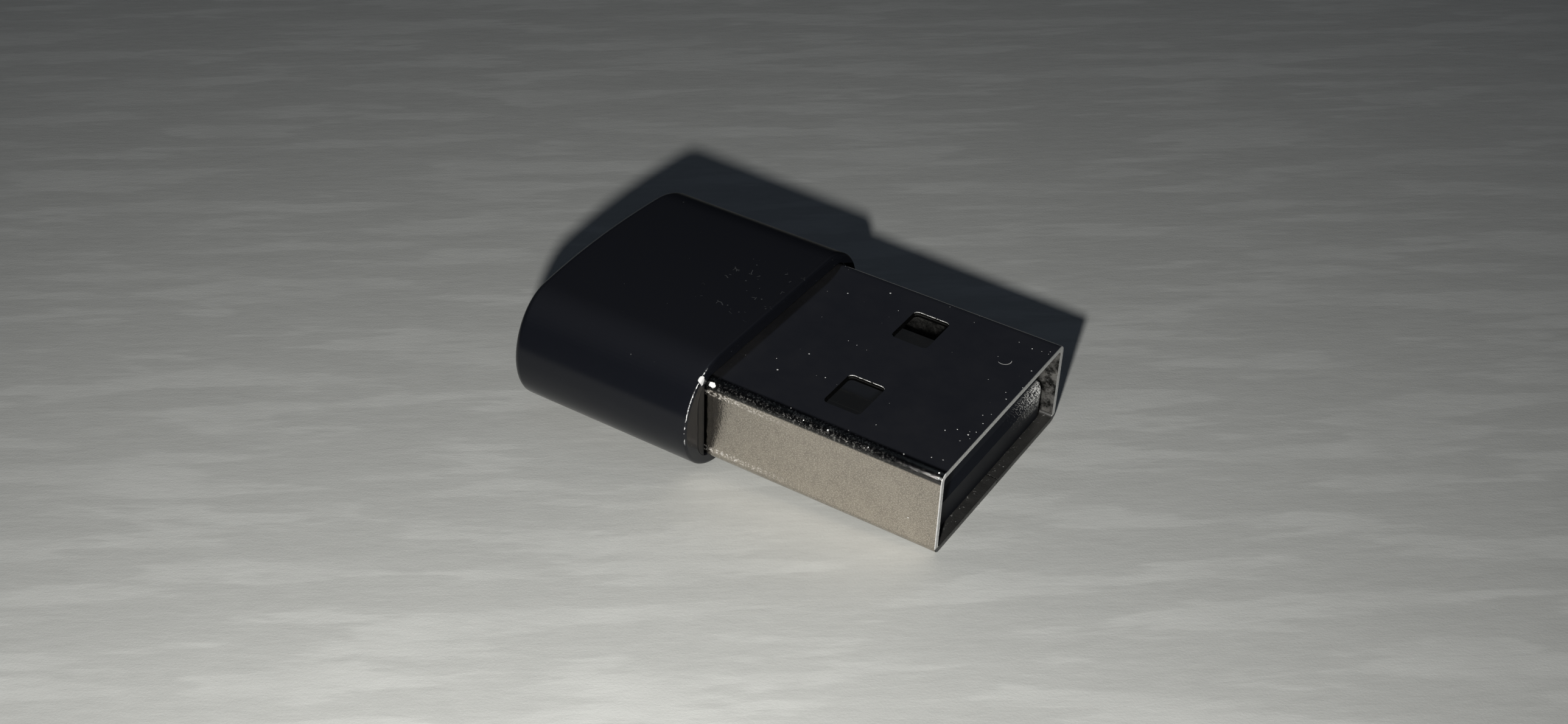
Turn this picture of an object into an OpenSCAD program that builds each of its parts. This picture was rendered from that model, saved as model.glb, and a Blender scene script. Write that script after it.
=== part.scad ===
// Small plug-in USB wireless adapter, in millimetres.
// The origin is the middle of the plug where it leaves the housing. +X points out of the plug's open
// end, +Y runs across its width and +Z is the side of the contacts.

/* [Housing] */
// Length from the seating face at the plug to the middle of the bowed rear end
body_l = 10.6; // [10.5:0.1:13]
// Width across the rounded sides
body_w = 15.3; // [15.2:0.1:17]
// Thickness between the two flat faces
body_t = 6; // [5.9:0.1:7]
// How far the rear end bows out between its corners
end_bow = 0.65; // [0.4:0.05:0.8]
// Radius of the rear corners, seen from above
end_corner_r = 0.6; // [0.6:0.1:1.2]
// Rounding along the upper and lower edges of the rear end
end_edge_r = 0.45; // [0.3:0.05:0.5]
// Chamfer around the housing's mouth
mouth_chamfer = 0.15; // [0.05:0.05:0.3]

/* [Plug] */
// Width of the plug shell
plug_w = 12; // [11.9:0.1:12.1]
// Height of the plug shell
plug_h = 4.5; // [4.4:0.1:4.6]
// Length of the plug in front of the housing
plug_l = 12.2; // [11.8:0.1:12.6]
// Thickness of the shell's sheet steel
sheet = 0.3; // [0.25:0.05:0.35]
// Outer radius of the shell's four bends
bend_r = 0.45; // [0.4:0.05:0.5]
// Distance from the plug's open end to the latch windows
window_setback = 5.15; // [5:0.05:5.3]
// Length of a latch window along the plug
window_l = 1.9; // [1.7:0.1:2.1]
// Width of a latch window
window_w = 2.46; // [2.2:0.02:2.6]
// Spacing of the two windows of one face, centre to centre
window_pitch = 6.12; // [6:0.02:6.2]

/* [Insulator and contacts] */
// How far the insulator's nose sits back from the plug's open end
nose_recess = 0.45; // [0.3:0.05:0.7]
// Place of the front face of the insulator's thick rear block
block_front = 3.9; // [3.5:0.1:4.5]
// Width of a contact blade
contact_w = 1; // [0.8:0.05:1]
// Thickness of a contact blade
contact_t = 0.2; // [0.15:0.05:0.2]

/* [Circuit board] */
// Thickness of the circuit board
board_t = 0.8; // [0.6:0.1:1]
// Diameter of the light pipe in the rear end
pipe_d = 1.2; // [0.8:0.1:1.4]

/* [Hidden] */
$fn = 96;
gap = 0.03;
over = 1;

// Housing: the rear outline is one wide arc that runs into two corner arcs
half_w = body_w / 2;
half_t = body_t / 2;
bow_r = (half_w * half_w + end_bow * end_bow) / (2 * end_bow);
bow_x = bow_r - body_l;
corner_y = half_w - end_corner_r;
corner_x = bow_x - sqrt(pow(bow_r - end_corner_r, 2) - corner_y * corner_y);
cavity_w = plug_w + 1.24;
cavity_h = plug_h + 0.1;
cavity_r = 1.2;
cavity_rear = 0.8 - body_l;
snap_x = -3.4;
snap_l = 1;
snap_w = 1.4;
snap_rise = 0.26;

// Plug: the shell's tail reaches into the housing, and two arms carry it on to the board
tail_x = -1.6;
arm_rear = -4.1;
leg_front = -3.1;
leg_low = -1.6;
window_x = plug_l - window_setback - window_l / 2;
window_r = 0.25;
seam_w = 0.05;
tongue_w = plug_w - 1;
insulator_rear = -1.4;
nose_x = plug_l - nose_recess;
nose_corner_r = 0.7;
floor_z = sheet - plug_h / 2;

// Contacts: the outer pair is longer, so that power meets first
outer_y = 3.5;
inner_y = 1;
outer_tip = nose_x - 0.8;
inner_tip = nose_x - 1.8;
contact_top = 0.05;
foot_end = -3.3;
tip_drop = 0.7;

// Board and its parts
board_top = -0.35;
board_low = board_top - board_t;
board_front = -1.7;
board_rear = 1.2 - body_l;
board_half = 6.1;
board_neck = 5.98;
neck_rear = -4.5;
notch_y = 5.65;
copper_t = 0.03;
rail_y = 5.75;
rail_top = 0.4;
tray_floor = -1.96;
tray_wall_y = plug_w / 2 + 0.12;
chip_at = [-6, -2.7];
chip_size = [4, 4, 0.75];
crystal_at = [-5.6, 1.5];
crystal_size = [3.2, 2.5, 0.3];
regulator_at = [-5.6, 4.4];
regulator_size = [2.9, 1.3, 1];
antenna_at = [board_rear + 1.15, 3.4];
antenna_size = [3.2, 1.6, 1.2];
led_at = [board_rear + 0.8, 0];
led_size = [1.6, 0.8, 0.6];
ferrite_at = [-2.9, 2.25];
ferrite_size = [1.6, 0.8, 0.8];
small_chip = [1, 0.5, 0.5];
flat_chip = [1, 0.5, 0.35];
end_share = 0.25;

// Places of the small parts: x, y, turn about Z and the board's side (1 top, -1 underside)
capacitor_places = [[-2.9, 4.85, 0, 1], [-5, -5.3, 0, 1], [-6.8, -5.3, 0, 1], [-8.9, -2, 90, 1],
    [-8.9, -3.4, 90, 1], [-5, 2, 0, -1], [-5, -2, 0, -1], [-7.2, 0, 90, -1]];
resistor_places = [[-2.9, 0, 0, 1], [-2.9, -2.25, 0, 1], [-8.75, -4.75, 0, 1], [-6.5, 3.4, 0, -1],
    [-6.5, -3.4, 0, -1]];
coil_places = [[-8.7, 1.3, 0, 1], [-7.7, 0.1, 90, 1]];

// ---- Shape helpers ----

// Rectangle with four round corners, centred
module rounded_rect(w, h, r) {
    square([w, h - 2 * r], center = true);
    square([w - 2 * r, h], center = true);
    for (sx = [-1, 1], sy = [-1, 1])
        translate([sx * (w / 2 - r), sy * (h / 2 - r)])
            circle(r);
}

// Rectangle with half-round sides, centred
module stadium(w, h) {
    square([w - h, h], center = true);
    for (s = [-1, 1])
        translate([s * (w - h) / 2, 0])
            circle(h / 2);
}

// Box between two opposite corners
module block(low, high) {
    translate(low)
        cube(high - low);
}

// Section drawn as (Y, Z), run from x0 to x1
module along_x(x0, x1) {
    translate([x0, 0, 0])
        rotate([90, 0, 90])
            linear_extrude(x1 - x0)
                children();
}

// Side outline drawn as (X, Z), given a width w centred on y
module across_y(y, w) {
    translate([0, y + w / 2, 0])
        rotate([90, 0, 0])
            linear_extrude(w)
                children();
}

// Plan outline drawn as (X, Y), run from z0 to z1
module up_z(z0, z1) {
    translate([0, 0, z0])
        linear_extrude(z1 - z0)
            children();
}

// Both sides of the plug's middle plane
module both_sides() {
    children();
    mirror([0, 1, 0])
        children();
}

// ---- Housing ----

// Straight bar of the housing's section, with the chamfer around its mouth
module housing_bar() {
    flat_w = body_w - body_t;
    low_r = half_t - mouth_chamfer;
    along_x(-body_l - over, -mouth_chamfer)
        stadium(body_w, body_t);
    across_y(0, flat_w)
        polygon([[-mouth_chamfer, -half_t], [-mouth_chamfer, half_t], [0, low_r], [0, -low_r]]);
    for (s = [-1, 1])
        translate([-mouth_chamfer, s * flat_w / 2, 0])
            rotate([0, 90, 0])
                cylinder(h = mouth_chamfer, r1 = half_t, r2 = low_r);
}

// Disc of radius r and of the housing's thickness, with its two edges rounded
module rounded_disc(r) {
    rotate_extrude()
        intersection() {
            union() {
                translate([0, -half_t])
                    square([r - end_edge_r, body_t]);
                translate([0, end_edge_r - half_t])
                    square([r, body_t - 2 * end_edge_r]);
                for (s = [-1, 1])
                    translate([r - end_edge_r, s * (half_t - end_edge_r)])
                        circle(end_edge_r);
            }
            translate([0, -half_t])
                square([r, body_t]);
        }
}

// The housing's plan: straight sides, the wide rear arc, and a corner arc on each side of it.
// The pieces meet on flat cuts through the corner centres, where the arcs are tangent.
module housing_plan() {
    reach = 1.1 * bow_r / (bow_r - end_corner_r);
    far_x = bow_x + reach * (corner_x - bow_x);
    far_y = reach * corner_y;
    block([corner_x, -half_w, -half_t], [over, half_w, half_t]);
    intersection() {
        translate([bow_x, 0, 0])
            rounded_disc(bow_r);
        up_z(-body_t, body_t)
            polygon([[corner_x, corner_y], [far_x, far_y], [far_x, -far_y], [corner_x, -corner_y]]);
    }
    both_sides()
        intersection() {
            translate([corner_x, corner_y, 0])
                rounded_disc(end_corner_r);
            up_z(-body_t, body_t)
                polygon([[corner_x, corner_y], [far_x, far_y], [far_x, half_w + over],
                    [corner_x, half_w + over]]);
        }
}

// The room inside the housing, open at the mouth
module housing_cavity() {
    intersection() {
        along_x(cavity_rear - over, over)
            rounded_rect(cavity_w, cavity_h, cavity_r);
        translate([cavity_rear / 2 + over, 0, -body_t])
            linear_extrude(2 * body_t)
                rounded_rect(2 * over - cavity_rear, cavity_w, cavity_r);
    }
}

module rear_housing() {
    color("#17181b")
        difference() {
            intersection() {
                housing_bar();
                housing_plan();
            }
            housing_cavity();
            both_sides()
                block([snap_x - snap_l - 0.1, cavity_w / 2 - 0.1, -snap_w / 2 - 0.05],
                    [snap_x + 0.05, cavity_w / 2 + snap_rise, snap_w / 2 + 0.05]);
            along_x(-body_l - over, cavity_rear + over)
                circle(pipe_d / 2 + gap);
        }
}

// Carrier that slides into the housing: floor, rails for the board, cheeks beside the plug, barbs
module board_tray() {
    side_y = cavity_w / 2 - gap;
    color("#1d1e21") {
        difference() {
            intersection() {
                along_x(cavity_rear, 0)
                    rounded_rect(cavity_w - 2 * gap, cavity_h - 2 * gap, cavity_r - gap);
                translate([cavity_rear / 2 + over + 0.1, 0, -body_t])
                    linear_extrude(2 * body_t)
                        rounded_rect(2 * over - cavity_rear, cavity_w, cavity_r);
                union() {
                    block([cavity_rear, -rail_y, -half_t], [board_front, rail_y, tray_floor]);
                    both_sides() {
                        block([cavity_rear, rail_y, -half_t], [neck_rear, half_w, rail_top]);
                        block([neck_rear, tray_wall_y, -half_t], [0, half_w, half_t]);
                    }
                }
            }
            block([board_rear - 0.05, -board_half - gap, board_low - gap],
                [board_front, board_half + gap, board_top + gap]);
            // The plug's tail passes above the front of the floor
            block([tail_x - 0.2, -tray_wall_y, -half_t], [over, tray_wall_y, half_t]);
        }
        both_sides()
            up_z(-snap_w / 2, snap_w / 2)
                polygon([[snap_x - snap_l, side_y], [snap_x - snap_l, side_y - 0.1],
                    [snap_x, side_y - 0.1], [snap_x, side_y + snap_rise - gap]]);
    }
}

// ---- Plug ----

// The four latch windows, as plan outlines
module window_outlines() {
    for (s = [-1, 1])
        translate([window_x, s * window_pitch / 2])
            rounded_rect(window_l, window_w, window_r);
}

// Butt joint of the folded sheet on the underside, locked by one dovetail
module shell_seam() {
    neck = 0.55;
    head = 0.95;
    depth = 1.1;
    mid = window_x - 0.4;
    translate([tail_x - over, -seam_w / 2])
        square([mid - neck - tail_x + over, seam_w]);
    translate([mid + neck, -seam_w / 2])
        square([plug_l - mid, seam_w]);
    difference() {
        polygon([[mid - neck - seam_w, -seam_w / 2], [mid - head - seam_w, depth + seam_w],
            [mid + head + seam_w, depth + seam_w], [mid + neck + seam_w, -seam_w / 2]]);
        polygon([[mid - neck, -seam_w], [mid - head, depth], [mid + head, depth],
            [mid + neck, -seam_w]]);
    }
}

// Arm from the shell's side wall to the board, with its solder leg
module shell_arm() {
    block([arm_rear, plug_w / 2 - sheet, board_top + 0.07], [tail_x, plug_w / 2, 1.4]);
    block([arm_rear, plug_w / 2 - sheet, leg_low], [leg_front, plug_w / 2, board_top + 0.07]);
}

module plug_shell() {
    color("#c9c7c2")
        difference() {
            union() {
                difference() {
                    along_x(tail_x, plug_l)
                        rounded_rect(plug_w, plug_h, bend_r);
                    along_x(tail_x - over, plug_l + over)
                        rounded_rect(plug_w - 2 * sheet, plug_h - 2 * sheet, bend_r - sheet);
                }
                both_sides()
                    shell_arm();
            }
            up_z(-plug_h, plug_h)
                window_outlines();
            up_z(-plug_h, floor_z + 0.1)
                shell_seam();
        }
}

// Room for one contact: a channel in the tongue, a slot in the block and a pocket for the tip
module contact_room(y, tip) {
    side = contact_w / 2 + 0.02;
    low = contact_top - contact_t - 0.02;
    block([insulator_rear - over, y - side, low], [tip, y + side, contact_top + 0.02]);
    block([tip - 0.6, y - side, -tip_drop], [tip + 0.02, y + side, over]);
}

module plug_insulator() {
    low = floor_z + 0.02;
    color("#0d0d0e")
        difference() {
            union() {
                intersection() {
                    across_y(0, tongue_w)
                        polygon([[0, low], [nose_x - 0.25, low], [nose_x, low + 0.25],
                            [nose_x, -0.3], [nose_x - 0.3, 0], [0, 0]]);
                    // The nose's corners are rounded in plan
                    up_z(-plug_h, plug_h)
                        rounded_rect(2 * nose_x, tongue_w, nose_corner_r);
                }
                along_x(insulator_rear, block_front)
                    rounded_rect(plug_w - 2 * sheet - 0.04, plug_h - 2 * sheet - 0.04, 0.15);
            }
            for (s = [-1, 1]) {
                contact_room(s * outer_y, outer_tip);
                contact_room(s * inner_y, inner_tip);
            }
            // The receptacle's latch springs dip in through the windows on the underside
            up_z(-plug_h, low + 0.5)
                window_outlines();
        }
}

// Stamped contact: foot on the board, straight blade and a tip folded down into the tongue
module contact_blade(y, tip) {
    low = contact_top - contact_t;
    foot = board_top + copper_t;
    slope = 0.25;
    color("#d8b45a")
        across_y(y, contact_w)
            polygon([[foot_end, foot], [-1.9, foot], [-1.6, low], [tip - 0.53, low],
                [tip - slope, -0.43], [tip - slope, -0.65], [tip - 0.05, -0.65], [tip - 0.05, -0.35],
                [tip - 0.45, contact_top], [-1.7, contact_top], [-2, foot + contact_t],
                [foot_end, foot + contact_t]]);
}

module vbus_contact() {
    contact_blade(-outer_y, outer_tip);
}

module data_minus_contact() {
    contact_blade(-inner_y, inner_tip);
}

module data_plus_contact() {
    contact_blade(inner_y, inner_tip);
}

module ground_contact() {
    contact_blade(outer_y, outer_tip);
}

// ---- Circuit board ----

module circuit_board() {
    cut = 1.2;
    color("#1f4d33")
        up_z(board_low, board_top)
            difference() {
                polygon([[board_front, -board_neck], [board_front, board_neck],
                    [neck_rear, board_neck], [neck_rear, board_half],
                    [board_rear + cut, board_half], [board_rear, board_half - cut],
                    [board_rear, cut - board_half], [board_rear + cut, -board_half],
                    [neck_rear, -board_half], [neck_rear, -board_neck]]);
                for (s = [-1, 1])
                    translate([(arm_rear + leg_front) / 2, s * (notch_y + over)])
                        square([leg_front - arm_rear + 0.1, 2 * over], center = true);
            }
}

// Puts a part on the board's copper: place is x, y, turn and side
module on_board(place) {
    height = place[3] > 0 ? board_top + copper_t : board_low - copper_t;
    translate([place[0], place[1], height])
        rotate([place[3] > 0 ? 0 : 180, 0, place[2]])
            children();
}

// Middle of a two-ended part of the given size
module chip_middle(size) {
    length = size[0] * (1 - 2 * end_share);
    translate([-length / 2, -size[1] / 2, 0])
        cube([length, size[1], size[2]]);
}

// The two metal ends of such a part
module chip_ends(size) {
    length = size[0] * end_share;
    for (s = [0, 1])
        translate([s ? size[0] / 2 - length : -size[0] / 2, -size[1] / 2, 0])
            cube([length, size[1], size[2]]);
}

// Copper under those two ends
module chip_pads(size) {
    length = size[0] * end_share;
    for (s = [-1, 1])
        translate([s * (size[0] / 2 - length / 2), 0, -copper_t / 2])
            cube([length, size[1], copper_t], center = true);
}

module board_copper() {
    feed_w = 0.3;
    feed_x = coil_places[0][0];
    top = board_top + copper_t;
    color("#c58a4a") {
        for (y = [-outer_y, -inner_y, inner_y, outer_y])
            block([foot_end - 0.4, y - 0.55, board_top], [-1.85, y + 0.55, top]);
        // Short feed track between the matching coil and the antenna
        block([feed_x - feed_w / 2, coil_places[0][1] + 0.26, board_top],
            [feed_x + feed_w / 2, antenna_at[1] - antenna_size[0] / 2 - 0.01, top]);
        for (place = concat(capacitor_places, coil_places))
            on_board(place)
                chip_pads(small_chip);
        for (place = resistor_places)
            on_board(place)
                chip_pads(flat_chip);
        on_board([antenna_at[0], antenna_at[1], 90, 1])
            chip_pads(antenna_size);
        on_board([led_at[0], led_at[1], 90, 1])
            chip_pads(led_size);
        on_board([ferrite_at[0], ferrite_at[1], 0, 1])
            chip_pads(ferrite_size);
    }
}

// Fillet of solder behind each contact foot
module contact_solder() {
    color("#b9bcc0")
        for (y = [-outer_y, -inner_y, inner_y, outer_y])
            across_y(y, 0.8)
                polygon([[foot_end - 0.01, board_top + copper_t], [foot_end - 0.01, board_top + 0.2],
                    [foot_end - 0.35, board_top + copper_t]]);
}

// Fillet of solder beside each leg of the shell, under the board
module shell_solder() {
    inner = plug_w / 2 - sheet - 0.01;
    top = board_low - 0.01;
    color("#b9bcc0")
        both_sides()
            along_x(arm_rear + 0.05, leg_front - 0.05)
                polygon([[inner, top], [inner, leg_low + 0.05], [inner - 0.5, top]]);
}

module wifi_chip() {
    color("#232427")
        translate([chip_at[0] - chip_size[0] / 2, chip_at[1] - chip_size[1] / 2, board_top + copper_t])
            cube(chip_size);
}

module wifi_chip_leads() {
    count = 7;
    pitch = 0.5;
    size = [0.18, 0.25, 0.2];
    color("#c4c6ca")
        for (turn = [0:90:270], i = [0:count - 1])
            translate([chip_at[0], chip_at[1], board_top])
                rotate([0, 0, turn])
                    translate([chip_size[0] / 2 + 0.01, (i - (count - 1) / 2) * pitch - size[1] / 2, 0])
                        cube(size);
}

module crystal_base() {
    color("#b8ac93")
        translate([crystal_at[0] - crystal_size[0] / 2, crystal_at[1] - crystal_size[1] / 2, board_top])
            cube(crystal_size);
}

module crystal_lid() {
    top = board_top + crystal_size[2];
    color("#cfd1d4")
        translate([crystal_at[0], crystal_at[1], 0])
            up_z(top, top + 0.35)
                rounded_rect(crystal_size[0] - 0.3, crystal_size[1] - 0.3, 0.3);
}

module chip_antenna() {
    color("#e4e2da")
        on_board([antenna_at[0], antenna_at[1], 90, 1])
            chip_middle(antenna_size);
}

module antenna_terminals() {
    color("#c4c6ca")
        on_board([antenna_at[0], antenna_at[1], 90, 1])
            chip_ends(antenna_size);
}

module voltage_regulator() {
    lift = 0.1;
    color("#232427")
        translate([regulator_at[0], regulator_at[1] - regulator_size[1] / 2, board_top + lift])
            translate([-regulator_size[0] / 2, 0, 0])
                cube(regulator_size);
}

// Gull-wing leads: two on one side of the package and one on the other
module regulator_leads() {
    lead_w = 0.4;
    lead_t = 0.15;
    side = regulator_size[1] / 2 + 0.01;
    color("#c4c6ca")
        for (lead = [[-0.95, -1], [0.95, -1], [0, 1]])
            translate([regulator_at[0] + lead[0] - lead_w / 2, regulator_at[1], board_top])
                mirror([0, lead[1] < 0 ? 1 : 0, 0])
                    rotate([90, 0, 90])
                        linear_extrude(lead_w)
                            polygon([[side, 0.55], [side, 0.4], [side + 0.1, 0.4], [side + 0.1, 0],
                                [side + 0.5, 0], [side + 0.5, lead_t], [side + 0.25, lead_t],
                                [side + 0.25, 0.55]]);
}

module capacitors() {
    color("#a58463")
        for (place = capacitor_places)
            on_board(place)
                chip_middle(small_chip);
}

module capacitor_terminals() {
    color("#c4c6ca")
        for (place = capacitor_places)
            on_board(place)
                chip_ends(small_chip);
}

module resistors() {
    color("#202124")
        for (place = resistor_places)
            on_board(place)
                chip_middle(flat_chip);
}

module resistor_terminals() {
    color("#c4c6ca")
        for (place = resistor_places)
            on_board(place)
                chip_ends(flat_chip);
}

module matching_coils() {
    color("#d9d6cc")
        for (place = coil_places)
            on_board(place)
                chip_middle(small_chip);
}

module coil_terminals() {
    color("#c4c6ca")
        for (place = coil_places)
            on_board(place)
                chip_ends(small_chip);
}

module ferrite_bead() {
    color("#4a4b4e")
        on_board([ferrite_at[0], ferrite_at[1], 0, 1])
            chip_middle(ferrite_size);
}

module ferrite_terminals() {
    color("#c4c6ca")
        on_board([ferrite_at[0], ferrite_at[1], 0, 1])
            chip_ends(ferrite_size);
}

module status_led() {
    color("#d6e6d2")
        on_board([led_at[0], led_at[1], 90, 1])
            chip_middle(led_size);
}

module led_terminals() {
    color("#c4c6ca")
        on_board([led_at[0], led_at[1], 90, 1])
            chip_ends(led_size);
}

// Clear rod through the rear end, with a flange that rests against the inside of the end wall
module light_pipe() {
    flange_t = 0.3;
    color("#dfe6ea") {
        along_x(gap - body_l, cavity_rear + gap)
            circle(pipe_d / 2);
        along_x(cavity_rear + gap, cavity_rear + gap + flange_t)
            circle(pipe_d / 2 + 0.35);
    }
}

rear_housing();
board_tray();
plug_shell();
plug_insulator();
vbus_contact();
data_minus_contact();
data_plus_contact();
ground_contact();
circuit_board();
board_copper();
contact_solder();
shell_solder();
wifi_chip();
wifi_chip_leads();
crystal_base();
crystal_lid();
chip_antenna();
antenna_terminals();
voltage_regulator();
regulator_leads();
capacitors();
capacitor_terminals();
resistors();
resistor_terminals();
matching_coils();
coil_terminals();
ferrite_bead();
ferrite_terminals();
status_led();
led_terminals();
light_pipe();
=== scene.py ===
import math
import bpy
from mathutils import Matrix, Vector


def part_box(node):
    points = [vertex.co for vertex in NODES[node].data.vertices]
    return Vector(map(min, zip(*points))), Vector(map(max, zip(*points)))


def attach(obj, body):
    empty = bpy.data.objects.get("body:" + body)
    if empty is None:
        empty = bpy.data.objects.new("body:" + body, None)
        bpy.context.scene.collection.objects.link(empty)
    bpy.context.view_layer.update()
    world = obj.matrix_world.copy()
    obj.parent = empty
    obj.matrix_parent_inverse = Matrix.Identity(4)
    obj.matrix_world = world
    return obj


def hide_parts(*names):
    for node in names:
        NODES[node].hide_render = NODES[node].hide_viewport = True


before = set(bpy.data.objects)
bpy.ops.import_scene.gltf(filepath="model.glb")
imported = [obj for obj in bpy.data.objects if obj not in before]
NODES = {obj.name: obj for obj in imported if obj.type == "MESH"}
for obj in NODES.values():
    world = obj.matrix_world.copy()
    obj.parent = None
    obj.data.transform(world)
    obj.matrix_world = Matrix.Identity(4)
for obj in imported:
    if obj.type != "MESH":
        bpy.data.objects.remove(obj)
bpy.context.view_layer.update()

from types import SimpleNamespace

import bmesh
import bpy
from mathutils import Matrix, Vector

# Lengths in this script are in millimetres; MM turns them into Blender's metres.
MM = 0.001

# Slack when places are compared, distances within which points are one, and sharp edges
SLACK = 0.01
SAME_POINT = 0.0001
SAME_CAD_POINT = 0.0005
SHARP_EDGE = math.radians(35)
SHARP_SHELL_EDGE = math.radians(40)


# ---------------------------------------------------------------- sizes, from the frame

def box_mm(node):
    """Lowest and highest corner of a CAD node, in millimetres."""
    low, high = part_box(node)
    return low / MM, high / MM


HOUSING_LOW, HOUSING_HIGH = box_mm("rear_housing")
SHELL_LOW, SHELL_HIGH = box_mm("plug_shell")
NOSE_X = box_mm("plug_insulator")[1].x

# Housing: outside, then the cavity, whose front closes in on the plug's broad faces
BODY_LENGTH = -HOUSING_LOW.x
BODY_HALF_W = HOUSING_HIGH.y
BODY_HALF_T = HOUSING_HIGH.z
BODY_BOW = 0.65
BODY_END_R = 0.45
MOUTH_R = 0.14
CAVITY_HALF_W = 6.62
CAVITY_HALF_T = 2.3
CAVITY_R = 1.2
REAR_WALL = 0.8
CAVITY_DEPTH = BODY_LENGTH - REAR_WALL
CAVITY_MIDDLE_X = -4
LIP_HALF_T = 2.262
LIP_DEPTH = 0.25
LIP_SLOPE = 0.1
LIP_BREAK = 0.015
PIPE_HOLE_R = 0.63
HOLE_BREAK = 0.05

# Rings of points that the housing is laid out with
CORNER_STEPS = 6
END_STEPS = 16
END_FACE_STEPS = 12
END_FACE_SPACING = 1.3
SIDE_SHARES = (0.04, 0.2, 0.4, 0.6, 0.8, 0.95)
FRONT_SHARES = (0.08, 0.5, 0.92)

# Plug shell, its two solder arms and its four latch windows
PLUG_LENGTH = SHELL_HIGH.x
PLUG_HALF_W = SHELL_HIGH.y
PLUG_HALF_H = SHELL_HIGH.z
SHEET = 0.3
BEND_R = 0.45
TAIL_X = -1.6
ARM_REAR = SHELL_LOW.x
ARM_TOP = 1.4
ARM_LOW = -0.28
LEG_FRONT = -3.1
LEG_LOW = -1.6
WINDOW_X = (5.15, 7.05)
WINDOW_Y = (1.83, 4.29)
WINDOW_R = 0.25
BEND_STEPS = 10
SHELL_ROWS = (TAIL_X, 0, 2.5, WINDOW_X[0], WINDOW_X[0] + WINDOW_R, WINDOW_X[1] - WINDOW_R,
              WINDOW_X[1], 9.5, PLUG_LENGTH)

# Rounding of the shell's sharp edges, and the share of it that each kind of edge gets
RIM_ROUNDING = 0.07
RIM_OUTSIDE = 1.0
RIM_INSIDE = 0.5
WINDOW_EDGE = 0.4
SEAM_EDGE = 0.2

# Butt joint of the folded sheet: slit, and a dovetail that is narrow at its neck
SEAM_W = 0.05
DOVETAIL_X = (WINDOW_X[0] + WINDOW_X[1]) / 2 - 0.4
DOVETAIL_NECK = 0.55
DOVETAIL_HEAD = 0.95
DOVETAIL_DEPTH = 1.1

# Material slots of the plug shell
OUTSIDE, CUT, INSIDE = 0, 1, 2


# ---------------------------------------------------------------- mesh helpers

def add_mesh(name, points, faces, slot_of_face=None):
    """Makes a smooth-shaded mesh object from points in millimetres."""
    mesh = bpy.data.meshes.new(name)
    mesh.from_pydata([Vector(p) * MM for p in points], [], faces)
    mesh.validate()
    if slot_of_face:
        mesh.polygons.foreach_set("material_index", slot_of_face)
    mesh.polygons.foreach_set("use_smooth", [True] * len(mesh.polygons))
    mesh.update()
    obj = bpy.data.objects.new(name, mesh)
    bpy.context.scene.collection.objects.link(obj)
    return obj


def fix_normals(obj):
    """Welds points that coincide and turns every face outwards."""
    bm = bmesh.new()
    bm.from_mesh(obj.data)
    bmesh.ops.remove_doubles(bm, verts=bm.verts, dist=SAME_POINT * MM)
    bmesh.ops.recalc_face_normals(bm, faces=bm.faces)
    bm.to_mesh(obj.data)
    bm.free()
    obj.data.update()


def soften_edges(obj, width, weld=True):
    """Rounds the sharp edges of an object by the given width."""
    if weld:
        merge = obj.modifiers.new("weld", "WELD")
        merge.merge_threshold = SAME_CAD_POINT * MM
    bevel = obj.modifiers.new("soft_edges", "BEVEL")
    bevel.width = width * MM
    bevel.segments = 2
    bevel.limit_method = "ANGLE"
    bevel.angle_limit = SHARP_EDGE
    bevel.use_clamp_overlap = True
    bevel.harden_normals = False
    normals = obj.modifiers.new("even_normals", "WEIGHTED_NORMAL")
    normals.keep_sharp = True
    return bevel


def arc_steps(count):
    """Angles from 0 to a quarter turn."""
    return [math.pi / 2 * i / count for i in range(count + 1)]


def rounded_outline(half_y, half_z, radius, flat_steps=30, side_steps=48):
    """Points (y, z) around a rounded rectangle, starting on top and turning towards +Y."""
    straight = 2 * (half_z - radius)
    arc = math.pi / 2 * radius
    side = []
    for i in range(side_steps + 1):
        s = i / side_steps * (2 * arc + straight)
        if s <= arc:
            turn = s / radius
            side.append((half_y - radius + radius * math.sin(turn),
                         half_z - radius + radius * math.cos(turn)))
        elif s < arc + straight:
            side.append((half_y, half_z - radius - (s - arc)))
        else:
            turn = (s - arc - straight) / radius
            side.append((half_y - radius + radius * math.cos(turn),
                         radius - half_z - radius * math.sin(turn)))
    flat = half_y - radius
    top = [(flat * (2 * i / flat_steps - 1), half_z) for i in range(1, flat_steps)]
    bottom = [(-y, -half_z) for y, z in top]
    return top + side + bottom + [(-y, -z) for y, z in side]


def circle_like(outline, radius):
    """A circle whose points lie in the same order as the outline's, and start much the same way."""
    count = len(outline)
    first = math.atan2(outline[0][0] * 0.3, outline[0][1])
    turns = [first + 2 * math.pi * i / count for i in range(count)]
    return [(radius * math.sin(turn), radius * math.cos(turn)) for turn in turns]


def mixed(first, second, share):
    """Outline between two others."""
    return [(a[0] + (b[0] - a[0]) * share, a[1] + (b[1] - a[1]) * share)
            for a, b in zip(first, second)]


def loop_faces(ring_count, size):
    """Quads between neighbouring rings of the same size, and from the last ring to the first."""
    faces = []
    for k in range(ring_count):
        a = k * size
        b = (k + 1) % ring_count * size
        for i in range(size):
            j = (i + 1) % size
            faces.append((a + i, a + j, b + j, b + i))
    return faces


# ---------------------------------------------------------------- rear housing

def flat_ring(outline, x):
    """The outline's points at one place along the plug's axis."""
    return [(x, y, z) for y, z in outline]


def bowed_ring(outline, x_of_y):
    """The outline's points, placed along the axis by a function of y."""
    return [(x_of_y(y), y, z) for y, z in outline]


def body_end_x(y):
    """Rear end of the housing: a shallow bow across the width."""
    return -(BODY_LENGTH - BODY_BOW * (y / BODY_HALF_W) ** 2)


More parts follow.
